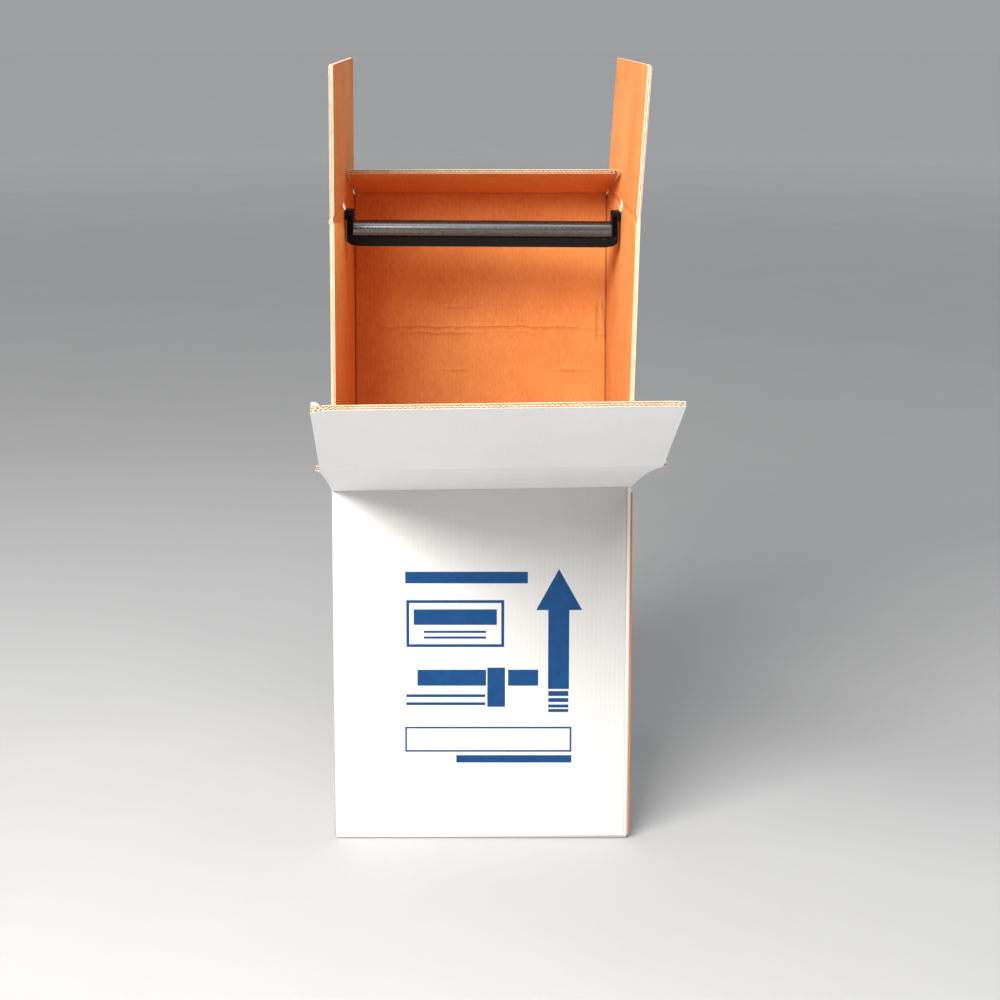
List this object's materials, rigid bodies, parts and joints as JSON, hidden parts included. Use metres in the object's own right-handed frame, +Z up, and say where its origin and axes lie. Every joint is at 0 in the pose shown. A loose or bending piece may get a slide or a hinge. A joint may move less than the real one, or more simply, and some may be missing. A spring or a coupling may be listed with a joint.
{
  "type": "wardrobe moving box",
  "caption": "Tall double-wall wardrobe carton with a drop front, hinged top flaps and a notched hanging bar across the top.",
  "frame": {"origin": "middle of the carton's underside", "axes": "+Z up, the drop front faces -Y, the hanging bar runs along X"},
  "size_m": [0.5288, 1.1405, 1.316],
  "materials": {
    "white_board": "matt white paper liner, plain kraft inside",
    "kraft_board": "matt brown kraft liner",
    "black_plastic": "moulded, satin gloss"
  },
  "bodies": {
    "box": {"carton": "white_board", "hanging_bar": "black_plastic"},
    "drop": {"drop_front": "white_board"},
    "hem": {"hem_flap": "white_board"},
    "left": {"left_flap": "kraft_board"},
    "right": {"right_flap": "kraft_board"},
    "back": {"back_flap": "kraft_board"}
  },
  "joints": [
    {"name": "drop_fold", "type": "hinge", "parent": "box", "child": "drop", "pos_m": [0, -0.25, 0.61], "axis": [0.9999, 0, 0.0148], "range_deg": [-67, 83]},
    {"name": "hem_fold", "type": "hinge", "parent": "drop", "child": "hem", "pos_m": [0.0131, -0.67721, 0.75731], "axis": [-0.9999, -0.014, -0.01], "range_deg": [-160, 75]},
    {"name": "left_fold", "type": "hinge", "parent": "box", "child": "left", "pos_m": [-0.25, 0, 1.062], "axis": [0, -1, 0], "range_deg": [-3, 165]},
    {"name": "right_fold", "type": "hinge", "parent": "box", "child": "right", "pos_m": [0.256, 0, 1.062], "axis": [-0.024, 0.9997, 0], "range_deg": [-5, 160]},
    {"name": "back_fold", "type": "hinge", "parent": "box", "child": "back", "pos_m": [0, 0.25, 1.062], "axis": [-1, 0, 0], "range_deg": [-14, 240]}
  ]
}
